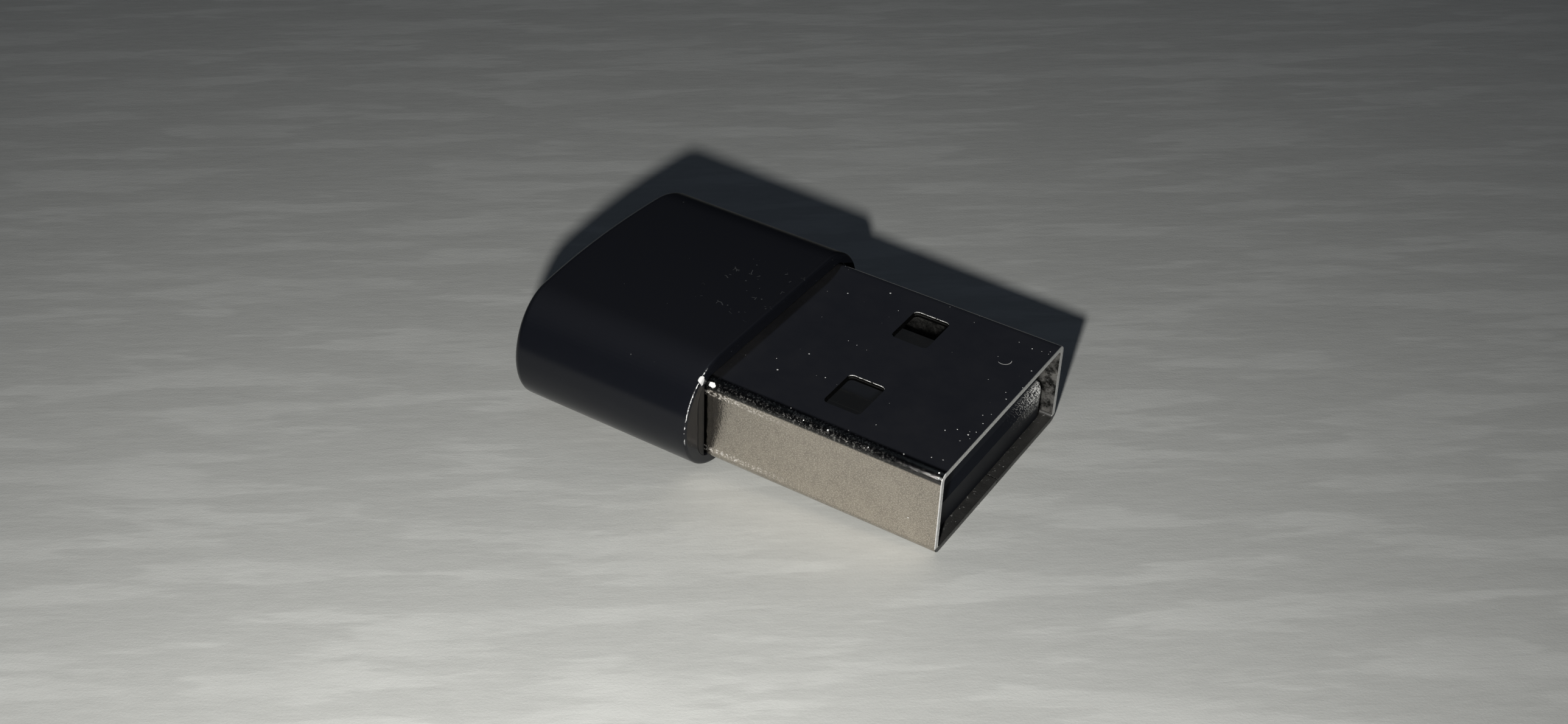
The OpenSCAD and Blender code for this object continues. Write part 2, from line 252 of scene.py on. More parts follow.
def body_outline(inset):
    """The housing's stadium section, drawn in by the inset."""
    return rounded_outline(BODY_HALF_W - inset, BODY_HALF_T - inset, BODY_HALF_T - inset)


def side_x(share):
    """Place along the straight sides by y: at the mouth's rounding (0) to the rear one (1)."""
    return lambda y: -MOUTH_R + share * (body_end_x(y) + BODY_END_R + MOUTH_R)


def side_rings():
    """Mouth's outer rounding, then the straight sides."""
    rings = []
    for turn in arc_steps(CORNER_STEPS):
        inset = MOUTH_R * (1 - math.sin(turn))
        rings.append(flat_ring(body_outline(inset), -MOUTH_R * (1 - math.cos(turn))))
    return rings + [bowed_ring(body_outline(0), side_x(share)) for share in SIDE_SHARES]


def end_rings():
    """Rounding into the rear end, the end face and the light pipe's hole."""
    rings = []
    for turn in arc_steps(END_STEPS):
        inset = BODY_END_R * (1 - math.cos(turn))
        back = BODY_END_R * (1 - math.sin(turn))
        rings.append(bowed_ring(body_outline(inset), lambda y, back=back: body_end_x(y) + back))
    rim = body_outline(BODY_END_R)
    wide_hole = circle_like(rim, PIPE_HOLE_R + HOLE_BREAK)
    for i in range(1, END_FACE_STEPS + 1):
        share = 1 - (1 - i / END_FACE_STEPS) ** END_FACE_SPACING
        rings.append(bowed_ring(mixed(rim, wide_hole, share), body_end_x))
    hole = circle_like(rim, PIPE_HOLE_R)
    rings.append(flat_ring(hole, -BODY_LENGTH + HOLE_BREAK))
    rings.append(flat_ring(hole, -CAVITY_DEPTH))
    return rings


def cavity_rings():
    """Flat rear wall with rounded plan corners, straight walls, and the lip at the mouth."""
    rings = []
    for turn in reversed(arc_steps(CORNER_STEPS)):
        half_y = CAVITY_HALF_W - CAVITY_R * (1 - math.cos(turn))
        x = -CAVITY_DEPTH + CAVITY_R * (1 - math.sin(turn))
        rings.append(flat_ring(rounded_outline(half_y, CAVITY_HALF_T, CAVITY_R), x))
    wall = rounded_outline(CAVITY_HALF_W, CAVITY_HALF_T, CAVITY_R)
    lip = rounded_outline(CAVITY_HALF_W, LIP_HALF_T, CAVITY_R)
    rings += [flat_ring(wall, x) for x in (CAVITY_MIDDLE_X, -LIP_DEPTH)]
    rings += [flat_ring(lip, x) for x in (-LIP_DEPTH + LIP_SLOPE, -LIP_BREAK)]
    return rings


def front_rings():
    """Front face, from the opening out to the mouth's rounding."""
    opening = rounded_outline(CAVITY_HALF_W + LIP_BREAK, LIP_HALF_T + 0.8 * LIP_BREAK, CAVITY_R)
    edge = body_outline(MOUTH_R)
    rings = [flat_ring(opening, 0)]
    rings += [flat_ring(mixed(opening, edge, share), 0) for share in FRONT_SHARES]
    return rings


def build_housing():
    """One closed shell: rounded mouth, straight body, bowed and rounded end, and the cavity."""
    rings = side_rings() + end_rings() + cavity_rings() + front_rings()
    points = [p for ring in rings for p in ring]
    return add_mesh("housing_cap", points, loop_faces(len(rings), len(rings[0])))


# ---------------------------------------------------------------- plug shell

class Builder:
    """Collects points and faces; points at the same place are shared."""

    def __init__(self):
        """Starts with nothing."""
        self.points = []
        self.index = {}
        self.faces = []
        self.slots = []

    def point(self, p):
        """Number of the point at this place, which is added if it is new."""
        key = tuple(round(c, 5) for c in p)
        if key not in self.index:
            self.index[key] = len(self.points)
            self.points.append(key)
        return self.index[key]

    def face(self, corners, slot=OUTSIDE):
        """Adds one face."""
        self.faces.append([self.point(p) for p in corners])
        self.slots.append(slot)


def bend_stations(face, up):
    """Stations of one bend, between a broad face and the side wall on its right."""
    inner_r = BEND_R - SHEET
    flat = PLUG_HALF_W - BEND_R
    wall = PLUG_HALF_H - BEND_R
    stations = []
    for turn in arc_steps(BEND_STEPS)[1:-1]:
        s, c = math.sin(turn), math.cos(turn)
        stations.append(((flat + BEND_R * s) * face, (wall + BEND_R * c) * face * up,
                         (flat + inner_r * s) * face, (wall + inner_r * c) * face * up))
    return stations


def shell_stations():
    """Stations around the folded sheet: (outer y, outer z, inner y, inner z)."""
    flat = PLUG_HALF_W - BEND_R
    wall = PLUG_HALF_H - BEND_R
    edges = [WINDOW_Y[0], WINDOW_Y[0] + WINDOW_R, WINDOW_Y[1] - WINDOW_R, WINDOW_Y[1]]
    across = [-flat] + [-y for y in reversed(edges)] + [0] + edges + [flat]
    stations = []
    for face in (1, -1):
        for y in across:
            stations.append((y * face, PLUG_HALF_H * face, y * face, (PLUG_HALF_H - SHEET) * face))
        stations += bend_stations(face, 1)
        side = [wall, ARM_TOP, ARM_LOW, -wall] if face > 0 else [wall, -ARM_LOW, -ARM_TOP, -wall]
        for z in side:
            stations.append((PLUG_HALF_W * face, z * face, (PLUG_HALF_W - SHEET) * face, z * face))
        stations += reversed(bend_stations(face, -1))
    return stations


def in_window(x, y, z):
    """True where a window is cut out of a broad face."""
    return (abs(z) > PLUG_HALF_H - SHEET - SLACK and WINDOW_X[0] < x < WINDOW_X[1]
            and WINDOW_Y[0] < abs(y) < WINDOW_Y[1])


def add_sheet(mesh, a, b):
    """The sheet between two stations: both skins, the open end and the tail."""
    outer_a, inner_a = a[:2], a[2:]
    outer_b, inner_b = b[:2], b[2:]
    for x0, x1 in zip(SHELL_ROWS, SHELL_ROWS[1:]):
        if in_window((x0 + x1) / 2, (a[0] + b[0]) / 2, (a[1] + b[1]) / 2):
            continue
        mesh.face([(x0, *outer_a), (x0, *outer_b), (x1, *outer_b), (x1, *outer_a)])
        mesh.face([(x0, *inner_b), (x0, *inner_a), (x1, *inner_a), (x1, *inner_b)], INSIDE)
    mesh.face([(PLUG_LENGTH, *p) for p in (outer_a, outer_b, inner_b, inner_a)], CUT)
    # The tail has no edge where an arm goes on from the side wall
    side_wall = abs(a[0]) == PLUG_HALF_W and abs(b[0]) == PLUG_HALF_W
    if side_wall and {round(a[1], 3), round(b[1], 3)} == {ARM_TOP, ARM_LOW}:
        return
    mesh.face([(TAIL_X, *p) for p in (outer_b, outer_a, inner_a, inner_b)], CUT)


def window_arc(x_corner, y_corner, x_sign, y_sign):
    """Arc in a window's corner, from the side along X to the side along Y."""
    cx = x_corner - x_sign * WINDOW_R
    cy = y_corner - y_sign * WINDOW_R
    return [(cx + x_sign * WINDOW_R * math.sin(t), cy + y_sign * WINDOW_R * math.cos(t))
            for t in arc_steps(CORNER_STEPS)]


def add_window(mesh, side, outer_z, inner_z):
    """Corner fillets and cut walls of one latch window."""
    x0, x1 = WINDOW_X
    y0, y1 = WINDOW_Y[0] * side, WINDOW_Y[1] * side
    loop = []
    corners = [(x1, y1, 1, side), (x1, y0, 1, -side), (x0, y0, -1, -side), (x0, y1, -1, side)]
    for number, (cx, cy, sx, sy) in enumerate(corners):
        arc = window_arc(cx, cy, sx, sy)
        if number % 2:
            arc.reverse()
        for z, slot in ((outer_z, OUTSIDE), (inner_z, INSIDE)):
            mesh.face([(cx, cy, z)] + [(x, y, z) for x, y in arc], slot)
        loop += arc
    for (xa, ya), (xb, yb) in zip(loop, loop[1:] + loop[:1]):
        mesh.face([(xa, ya, outer_z), (xb, yb, outer_z), (xb, yb, inner_z), (xa, ya, inner_z)], CUT)


def add_arm(mesh, side):
    """Arm and solder leg that carry the shell's side wall on to the board."""
    y0, y1 = PLUG_HALF_W * side, (PLUG_HALF_W - SHEET) * side
    edge = [(TAIL_X, ARM_TOP), (ARM_REAR, ARM_TOP), (ARM_REAR, ARM_LOW), (ARM_REAR, LEG_LOW),
            (LEG_FRONT, LEG_LOW), (LEG_FRONT, ARM_LOW), (TAIL_X, ARM_LOW)]
    for (xa, za), (xb, zb) in zip(edge, edge[1:]):
        mesh.face([(xa, y0, za), (xb, y0, zb), (xb, y1, zb), (xa, y1, za)])
    panels = [(TAIL_X, LEG_FRONT, ARM_TOP, ARM_LOW), (LEG_FRONT, ARM_REAR, ARM_TOP, ARM_LOW),
              (LEG_FRONT, ARM_REAR, ARM_LOW, LEG_LOW)]
    for y in (y0, y1):
        for xa, xb, za, zb in panels:
            mesh.face([(xa, y, za), (xb, y, za), (xb, y, zb), (xa, y, zb)])


def build_shell():
    """The folded tube with its four windows, open ends and two solder arms."""
    mesh = Builder()
    stations = shell_stations()
    for a, b in zip(stations, stations[1:] + stations[:1]):
        add_sheet(mesh, a, b)
    for face in (1, -1):
        for side in (1, -1):
            add_window(mesh, side, PLUG_HALF_H * face, (PLUG_HALF_H - SHEET) * face)
    for side in (1, -1):
        add_arm(mesh, side)
    obj = add_mesh("plug_tube", mesh.points, mesh.faces, mesh.slots)
    fix_normals(obj)
    return obj


def seam_cutter(materials):
    """Thin upright blade in the shape of the seam: a slit with one dovetail."""
    half = SEAM_W / 2
    # How far the blade reaches past the sheet
    past = 1
    neck, head = DOVETAIL_NECK, DOVETAIL_HEAD
    ahead = [(TAIL_X - past, half), (DOVETAIL_X - neck - SEAM_W, half),
             (DOVETAIL_X - head - SEAM_W, DOVETAIL_DEPTH + SEAM_W),
             (DOVETAIL_X + head + SEAM_W, DOVETAIL_DEPTH + SEAM_W),
             (DOVETAIL_X + neck + SEAM_W, half), (PLUG_LENGTH + past, half)]
    back = [(PLUG_LENGTH + past, -half), (DOVETAIL_X + neck, -half),
            (DOVETAIL_X + head, DOVETAIL_DEPTH), (DOVETAIL_X - head, DOVETAIL_DEPTH),
            (DOVETAIL_X - neck, -half), (TAIL_X - past, -half)]
    outline = ahead + back
    count = len(outline)
    levels = (-PLUG_HALF_H - past, -PLUG_HALF_H + SHEET + 0.1)
    points = [(x, y, z) for z in levels for x, y in outline]
    walls = [(i, (i + 1) % count, count + (i + 1) % count, count + i) for i in range(count)]
    faces = [list(range(count)), list(reversed(range(count, 2 * count)))] + walls
    cutter = add_mesh("seam_cutter", points, faces, [CUT] * len(faces))
    for material in materials:
        cutter.data.materials.append(material)
    fix_normals(cutter)
    return cutter


def cut_seam(shell):
    """Cuts the sheet's butt joint into the underside."""
    cutter = seam_cutter(shell.data.materials)
    boolean = shell.modifiers.new("seam", "BOOLEAN")
    boolean.operation = "DIFFERENCE"
    boolean.solver = "EXACT"
    boolean.object = cutter
    graph = bpy.context.evaluated_depsgraph_get()
    cut = bpy.data.meshes.new_from_object(shell.evaluated_get(graph))
    shell.modifiers.remove(boolean)
    shell.data = cut
    bpy.data.objects.remove(cutter)


def edge_weight(middle):
    """Share of the full rounding that a sharp edge of the shell gets."""
    x, y, z = middle
    if x > PLUG_LENGTH - SLACK:
        outer = max(abs(y) - PLUG_HALF_W, abs(z) - PLUG_HALF_H) > -SHEET / 3
        return RIM_OUTSIDE if outer else RIM_INSIDE
    at_seam = abs(y) < WINDOW_Y[0] - SLACK and z < 0
    return SEAM_EDGE if at_seam else WINDOW_EDGE


def weigh_edges(shell):
    """Bevel weights: full at the open end, less inside it, slight at the windows and the seam."""
    bm = bmesh.new()
    bm.from_mesh(shell.data)
    weights = bm.edges.layers.float.new("bevel_weight_edge")
    for edge in bm.edges:
        if len(edge.link_faces) == 2 and edge.calc_face_angle() >= SHARP_SHELL_EDGE:
            edge[weights] = edge_weight((edge.verts[0].co + edge.verts[1].co) / 2 / MM)
    bm.to_mesh(shell.data)
    bm.free()


def finish_shell(shell):
    """Materials, seam and rounded edges of the plug shell."""
    for material in (shell_steel(), cut_steel(), inner_steel()):
        shell.data.materials.append(material)
    cut_seam(shell)
    weigh_edges(shell)
    bevel = soften_edges(shell, RIM_ROUNDING, weld=False)
    bevel.limit_method = "WEIGHT"
    bevel.material = CUT


# ---------------------------------------------------------------- shading helpers

class Shader:
    """Short ways to build one material's node tree. Texture space is in millimetres."""

    def __init__(self, name, color=(0.5, 0.5, 0.5), roughness=0.5, metallic=0.0):
        """Starts a plain material; place, x, y, z and facing_x, _y, _z are links for its masks."""
        self.material = bpy.data.materials.new(name)
        self.material.use_nodes = True
        self.tree = self.material.node_tree
        self.surface = self.tree.nodes["Principled BSDF"]
        self.set("Base Color", (*color, 1))
        self.set("Roughness", roughness)
        self.set("Metallic", metallic)
        self.place = self.vector_math("SCALE", self.output("ShaderNodeTexCoord", "Object"), 1 / MM)
        self.x, self.y, self.z = self.parts_of(self.place)
        normal = self.output("ShaderNodeNewGeometry", "True Normal")
        self.facing_x, self.facing_y, self.facing_z = self.parts_of(normal)

    def set(self, name, value):
        """Gives an input of the surface a value or a link."""
        self.feed(self.surface.inputs[name], value)

    def feed(self, socket, value):
        """Gives any input a value or a link."""
        if isinstance(value, bpy.types.NodeSocket):
            self.tree.links.new(value, socket)
        else:
            socket.default_value = value

    def output(self, kind, name):
        """One output of a new node that takes no input."""
        return self.tree.nodes.new(kind).outputs[name]

    def parts_of(self, vector):
        """The three parts of a vector."""
        split = self.tree.nodes.new("ShaderNodeSeparateXYZ")
        self.feed(split.inputs[0], vector)
        return split.outputs

    def vector_math(self, operation, vector, value):
        """Scales a vector by a number, or combines it with another one."""
        node = self.tree.nodes.new("ShaderNodeVectorMath")
        node.operation = operation
        self.feed(node.inputs[0], vector)
        self.feed(node.inputs["Scale"] if operation == "SCALE" else node.inputs[1], value)
        return node.outputs[0]

    def math(self, operation, a, b=0.0):
        """Result of one sum on values or links."""
        node = self.tree.nodes.new("ShaderNodeMath")
        node.operation = operation
        self.feed(node.inputs[0], a)
        self.feed(node.inputs[1], b)
        return node.outputs[0]

    def plus(self, *values):
        """Sum of several values or links."""
        return self.chain("ADD", values)

    def times(self, *values):
        """Product of several values or links."""
        return self.chain("MULTIPLY", values)

    def most(self, *values):
        """Largest of several values or links."""
        return self.chain("MAXIMUM", values)

    def chain(self, operation, values):
        """Applies one operation to several values, from left to right."""
        result = values[0]
        for value in values[1:]:
            result = self.math(operation, result, value)
        return result

    def stretched(self, stretch, turn=0.0):
        """Texture coordinates turned about Z by degrees, then scaled along each axis."""
        place = self.place
        if turn:
            rotate = self.tree.nodes.new("ShaderNodeVectorRotate")
            rotate.rotation_type = "Z_AXIS"
            rotate.inputs["Angle"].default_value = math.radians(turn)
            self.feed(rotate.inputs["Vector"], place)
            place = rotate.outputs[0]
        return self.vector_math("MULTIPLY", place, stretch)

    def noise(self, scale, detail=3.0, roughness=0.5, stretch=(1, 1, 1), turn=0.0, output="Fac"):
        """Smooth noise with scale features to the millimetre."""
        node = self.tree.nodes.new("ShaderNodeTexNoise")
        self.feed(node.inputs["Vector"], self.stretched(stretch, turn))
        node.inputs["Scale"].default_value = scale
        node.inputs["Detail"].default_value = detail
        node.inputs["Roughness"].default_value = roughness
        return node.outputs[output]

    def spread(self, value, low, high, out_low=0.0, out_high=1.0, smooth=False):
        """Maps low..high on to out_low..out_high and clamps."""
        node = self.tree.nodes.new("ShaderNodeMapRange")
        node.interpolation_type = "SMOOTHSTEP" if smooth else "LINEAR"
        self.feed(node.inputs["Value"], value)
        for name, number in (("From Min", low), ("From Max", high),
                             ("To Min", out_low), ("To Max", out_high)):
            node.inputs[name].default_value = number
        return node.outputs[0]

    def between(self, axis, low, high, soft):
        """1 between low and high, fading to 0 over soft outside them."""
        rise = self.spread(axis, low - soft, low)
        return self.times(rise, self.spread(axis, high, high + soft, 1, 0))

    def spot(self, place, radii, ragged=0.4):
        """Mask of an ellipsoid whose edge is broken up by noise."""
        away = 0.0
        for axis, middle, radius in zip((self.x, self.y, self.z), place, radii):
            part = self.math("DIVIDE", self.math("SUBTRACT", axis, middle), radius)
            away = self.plus(away, self.times(part, part))
        rough = self.spread(self.noise(9, 3, 0.6), 0.3, 0.7, -ragged, ragged)
        return self.spread(self.plus(away, rough), 0.85, 1.0, 1, 0)

    def specks(self, scale, radius, share):
        """Mask of scattered specks: about share of the cells hold one, of up to that radius."""
        cells = self.tree.nodes.new("ShaderNodeTexVoronoi")
        self.feed(cells.inputs["Vector"], self.stretched((1, 1, 1)))
        cells.inputs["Scale"].default_value = scale
        draw = self.tree.nodes.new("ShaderNodeSeparateColor")
        self.feed(draw.inputs[0], cells.outputs["Color"])
        chosen = self.math("LESS_THAN", draw.outputs[0], share)
        size = self.times(self.spread(draw.outputs[1], 0, 1, 0.4, 1), radius * scale)
        return self.times(chosen, self.math("LESS_THAN", cells.outputs["Distance"], size))

    def scratches(self, scale, width, amount):
        """Mask of short curved scratches, of the given width in millimetres."""
        bend = self.vector_math("SCALE", self.noise(0.9, 2, output="Color"), 0.9)
        cells = self.tree.nodes.new("ShaderNodeTexVoronoi")
        cells.feature = "DISTANCE_TO_EDGE"
        self.feed(cells.inputs["Vector"], self.vector_math("ADD", self.place, bend))
        cells.inputs["Scale"].default_value = scale
        edge = width * scale
        line = self.spread(cells.outputs["Distance"], 0.3 * edge, 0.5 * edge, 1, 0)
        broken = self.math("GREATER_THAN", self.noise(1.7, 2, 0.6), 1 - amount)
        return self.times(line, broken)

    def fibre(self, middle, radius, turn, width=0.045):
        """Mask of a short curled hair on the top face, thinning out at its ends."""
        dx = self.math("SUBTRACT", self.x, middle[0])
        dy = self.math("SUBTRACT", self.y, middle[1])
        length = self.math("SQRT", self.plus(self.times(dx, dx), self.times(dy, dy)))
        away = self.math("ABSOLUTE", self.math("SUBTRACT", length, radius))
        along = self.plus(self.times(dx, math.cos(turn) / radius),
                          self.times(dy, math.sin(turn) / radius))
        taper = self.spread(along, 0.25, 0.7, 0.25 * width, 0.5 * width)
        return self.times(self.math("LESS_THAN", away, taper),
                          self.math("GREATER_THAN", along, 0.25))

    def mix_color(self, share, a, b):
        """Colour between two others, each given as numbers or as a link."""
        node = self.tree.nodes.new("ShaderNodeMix")
        node.data_type = "RGBA"
        self.feed(node.inputs["Factor"], share)
        for socket, value in ((node.inputs[6], a), (node.inputs[7], b)):
            self.feed(socket, value if isinstance(value, bpy.types.NodeSocket) else (*value, 1))
        return node.outputs[2]

    def mix(self, share, a, b):
        """Number between two others."""
        node = self.tree.nodes.new("ShaderNodeMix")
        self.feed(node.inputs["Factor"], share)
        self.feed(node.inputs[2], a)
        self.feed(node.inputs[3], b)
        return node.outputs[0]

    def bump(self, height, depth_mm, strength=1.0, under=None):
        """Relief from a height field, laid over the relief under it."""
        node = self.tree.nodes.new("ShaderNodeBump")
        self.feed(node.inputs["Height"], height)
        node.inputs["Distance"].default_value = depth_mm * MM
        self.feed(node.inputs["Strength"], strength)
        if under is not None:
            self.feed(node.inputs["Normal"], under)
        return node.outputs[0]


# ---------------------------------------------------------------- housing and tray plastic

# In the functions of a material, s is its shader and m the masks that they share. Limits on s.x,
# s.y and s.z are places on the object in millimetres, and limits on a noise are shares of it.

BLACK = (0.0066, 0.0074, 0.0102)
BLACK_WITH_PAINTED_LIGHT = (0.0125, 0.0134, 0.017)
PLASTIC_DUST = (0.085, 0.088, 0.092)
PAINTED_HIGHLIGHT_WHITE = (0.82, 0.82, 0.82)


def housing_mirror(s):
    """Specular level: fades out towards the far side, and along the mouth up to its near corner."""
    mouth_top = s.times(s.between(s.x, -0.25, 0.05, 0.1), s.spread(s.y, -5.6, -5.0))
    return s.times(s.spread(s.y, 3.8, 5.6, 0.43, 0.03), s.spread(mouth_top, 0, 1, 1, 0.15))


def handling_marks(s):
    """Mask of dust everywhere, and of more dust and fine scratches on top near the mouth."""
    handled = s.times(s.between(s.x, -3.2, -0.6, 0.8), s.between(s.y, -1.4, 2.4, 0.8),
                      s.spread(s.z, 2.8, 2.9))
    dust = s.most(s.times(handled, s.specks(3.4, 0.045, 0.12)), s.specks(1.0, 0.045, 0.2),
                  s.specks(2.3, 0.028, 0.1))
    return s.most(dust, s.times(handled, s.scratches(1.15, 0.045, 0.38)))


def housing_plastic():
    """Black moulded plastic, satin, with dust, a painted highlight along the mouth's near edge and a
    few fine scratches.
    """
    s = Shader("housing_plastic")
    grain = s.noise(14, 4, 0.6)
    chips = s.noise(6.5, 4, 0.7)
    # Painted highlight in beads along the outer edge of the mouth on the near side, and a painted
    # glint at its inner corner
    near_edge = s.times(s.between(s.x, -0.08, -0.055, 0.012),
                        s.times(s.spread(s.y, -5.75, -6.05), s.spread(s.z, -0.6, 0.0)))
    thinning = s.plus(chips, s.spread(s.z, 0, 2, -0.07, 0.0))
    beads = s.times(near_edge, s.spread(thinning, 0.47, 0.5))
    painted_edge_highlight = s.most(beads, s.spot((0, -6.3, 2.4), (0.2, 0.17, 0.26)))
    marks = handling_marks(s)
    # Faces that look up are painted lighter: painted light on the top
    base = s.mix_color(s.spread(s.facing_z, 0.6, 0.97, smooth=True), BLACK, BLACK_WITH_PAINTED_LIGHT)
    color = s.mix_color(s.times(marks, 0.8), base, PLASTIC_DUST)
    s.set("Base Color", s.mix_color(painted_edge_highlight, color, PAINTED_HIGHLIGHT_WHITE))
    sheen = s.plus(s.spread(s.noise(0.35, 3), 0.3, 0.7, 0.19, 0.25),
                   s.spread(grain, 0.3, 0.7, -0.02, 0.02))
    s.set("Roughness", s.mix(s.most(marks, painted_edge_highlight), sheen, 0.5))
    s.set("IOR", 1.42)
    s.set("Specular IOR Level", housing_mirror(s))
    s.set("Normal", s.bump(chips, 0.05, s.times(near_edge, 0.6), s.bump(grain, 0.003, 0.35)))
    return s.material


def tray_plastic():
    """Matt black inner carrier, with the faint upright streaks of its moulding."""
    s = Shader("tray_plastic", (0.0062, 0.0066, 0.0078))
    streak = s.noise(4, 3, 0.6, (1, 1, 0.12))
    s.set("Specular IOR Level", 0.3)
    s.set("Roughness", s.spread(streak, 0.3, 0.7, 0.3, 0.44))
    s.set("Normal", s.bump(streak, 0.012, 0.4, s.bump(s.noise(12, 4, 0.6), 0.006, 0.4)))
    return s.material


# ---------------------------------------------------------------- steel of the plug

FLAT_STEEL = (0.57, 0.545, 0.515)
SIDE_DARK = (0.43, 0.39, 0.345)
SIDE_LIGHT = (0.65, 0.59, 0.51)
SIDE_FLECK = (0.8, 0.73, 0.64)
PAINTED_DARK_BEND = (0.07, 0.069, 0.068)
PAINTED_PALE_MOTTLE = (0.42, 0.41, 0.39)
GRIME = (0.42, 0.42, 0.41)
PAINTED_SHADOW_DARK = (0.04, 0.04, 0.04)
DUST_AND_GLINT_WHITE = (0.97, 0.97, 0.95)
HAIR_MIDDLE = (10.5, 3.15)
HAIR_R = 0.33
HAIR_TURN = math.radians(-50)


def shell_masks(s):
    """Places and noises that the shell's finish is made of."""
    m = SimpleNamespace()
    m.across = s.math("ABSOLUTE", s.y)
    m.up = s.math("ABSOLUTE", s.z)
    m.side_wall = s.spread(m.across, PLUG_HALF_W - 0.12, PLUG_HALF_W - 0.06)
    m.by_side = s.spread(m.across, PLUG_HALF_W - 0.62, PLUG_HALF_W - 0.42, smooth=True)
    flat_from = PLUG_HALF_H - BEND_R
    m.at_bend = s.times(m.by_side, s.spread(m.up, flat_from - 0.04, flat_from + 0.04))
    # Weighted to the near side and the top, where the bend gets its painted dark reflection
    m.bend = s.times(m.at_bend, s.times(s.spread(s.y, -1, 1, 1, 0.2), s.spread(s.z, -1, 1, 0.2, 1)))
    m.calmer = s.spread(s.x, 7.5, 11, 1, 0.7)
    m.wave = s.noise(1.3, 3, 0.6)
    m.fine = s.noise(16, 3, 0.65)
    m.coarse = s.noise(8, 5, 0.75)
    return m


def shell_relief(s, m):
    """Orange peel of the plating, stronger on the sheared side walls, and the coarse bends."""
    bump = s.bump(m.wave, 0.05, s.times(m.side_wall, 0.25))
    bump = s.bump(s.noise(5.5, 4, 0.6), 0.02, s.plus(0.06, s.times(m.side_wall, 0.5)), bump)
    bump = s.bump(m.fine, 0.006, s.plus(0.1, s.times(m.side_wall, 0.6)), bump)
    return s.bump(m.coarse, 0.035, s.times(m.bend, 0.45, m.calmer), bump)


def side_wall_color(s, m):
    """Mottled metal of the side walls, with bright flecks."""
    mottle = s.plus(s.spread(s.noise(3.1, 4, 0.7), 0.36, 0.64, 0, 0.45),
                    s.spread(m.fine, 0.38, 0.62, 0, 0.55))
    flecks = s.spread(s.noise(12, 1, 0.5, (1, 1, 1.6)), 0.54, 0.57, 0, 0.75)
    return s.mix_color(flecks, s.mix_color(mottle, SIDE_DARK, SIDE_LIGHT), SIDE_FLECK)


def shell_grime(s, m):
    """Mask of the grime along the foot of the bends, thicker towards the housing."""
    foot = s.times(s.between(m.up, PLUG_HALF_H - 0.72, PLUG_HALF_H - 0.52, 0.1), m.side_wall)
    return s.times(foot, s.spread(s.noise(7, 4, 0.7), 0.48, 0.6), s.spread(s.x, 5, 1.5))


def metal_color(s, m, grime):
    """Colour under the dust: flats, side walls, bends painted dark, grime and a painted shadow line
    at the mouth.
    """
    color = s.mix_color(m.side_wall, FLAT_STEEL, side_wall_color(s, m))
    # Painted reflection: the bends are painted dark like the dim room they mirror, with paler
    # painted mottles that fade towards the open end
    painted_light_patches = s.times(s.spread(m.coarse, 0.52, 0.68), s.spread(s.x, 8.5, 10.5, 1, 0.15))
    color = s.mix_color(m.bend, color, s.mix_color(painted_light_patches, PAINTED_DARK_BEND, PAINTED_PALE_MOTTLE))
    color = s.mix_color(s.times(grime, 0.6), color, GRIME)
    # Painted shadow: a ragged dark band on the shell just ahead of the mouth, full on the near side
    ragged = s.plus(s.x, s.spread(m.wave, 0.3, 0.7, -0.08, 0.08))
    painted_joint_shadow = s.times(s.spread(ragged, 0.08, 0.14, 1, 0), m.by_side, s.spread(s.y, -1, 1, 1, 0.15))
    return s.mix_color(s.times(painted_joint_shadow, 0.85), color, PAINTED_SHADOW_DARK)


def shell_dust_and_glint(s, m):
    """Mask of dust, thicker by the bends and the open end, a hair, and a painted glint at the mouth.
    """
    by_rim = s.spread(s.x, PLUG_LENGTH - 0.8, PLUG_LENGTH - 0.3)
    small = s.most(s.specks(0.95, 0.07, 0.42), s.specks(1.9, 0.036, 0.33),
                   s.times(m.at_bend, s.specks(3.2, 0.045, 0.35)),
                   s.times(s.spread(m.across, 2, 5), s.specks(2.6, 0.03, 0.35)),
                   s.times(by_rim, s.specks(3.7, 0.045, 0.3)))
    on_flats = s.times(small, s.spread(m.side_wall, 0.2, 0.8, 1, 0))
    on_sides = s.times(m.side_wall, s.specks(1.5, 0.028, 0.3))
    hair = s.times(s.fibre(HAIR_MIDDLE, HAIR_R, HAIR_TURN), s.spread(s.z, 1, 2), 0.6)
    # Painted glint on the bend where the plug meets the mouth
    painted_glint = s.spot((0.3, -5.86, 2.04), (0.19, 0.18, 0.11), 0.8)
    return s.most(on_flats, on_sides, hair, painted_glint)


def shell_roughness(s, m):
    """Sheen of the flats, the side walls and the bends."""
    flats = s.spread(s.noise(0.5, 2), 0.35, 0.65, 0.1, 0.15)
    sides = s.spread(m.fine, 0.3, 0.7, 0.09, 0.17)
    bends = s.times(s.spread(m.coarse, 0.45, 0.6, 0.12, 0.3), m.calmer)
    return s.mix(m.bend, s.mix(m.side_wall, flats, sides), bends)


def shell_steel():
    """Nickel-plated sheet, bright on the flats: orange peel, coarse bends painted dark, a painted
    shadow and a painted glint at the mouth, grime and dust.
    """
    s = Shader("shell_steel")
    m = shell_masks(s)
    grime = shell_grime(s, m)
    dust_and_glint = shell_dust_and_glint(s, m)
    # A thin haze of handling on the broad faces
    haze = s.times(s.spread(s.noise(0.7, 3, 0.6), 0.3, 0.7, 0.009, 0.017),
                   s.spread(s.x, 0.3, 1.5, 1.25, 1), s.spread(m.side_wall, 0, 1, 1, 0))
    s.set("Base Color", s.mix_color(dust_and_glint, metal_color(s, m, grime), DUST_AND_GLINT_WHITE))
    s.set("Metallic", s.math("SUBTRACT", 1.0, s.most(dust_and_glint, grime, haze)))
    s.set("Roughness", s.mix(dust_and_glint, shell_roughness(s, m), 0.6))
    s.set("Normal", shell_relief(s, m))
    return s.material


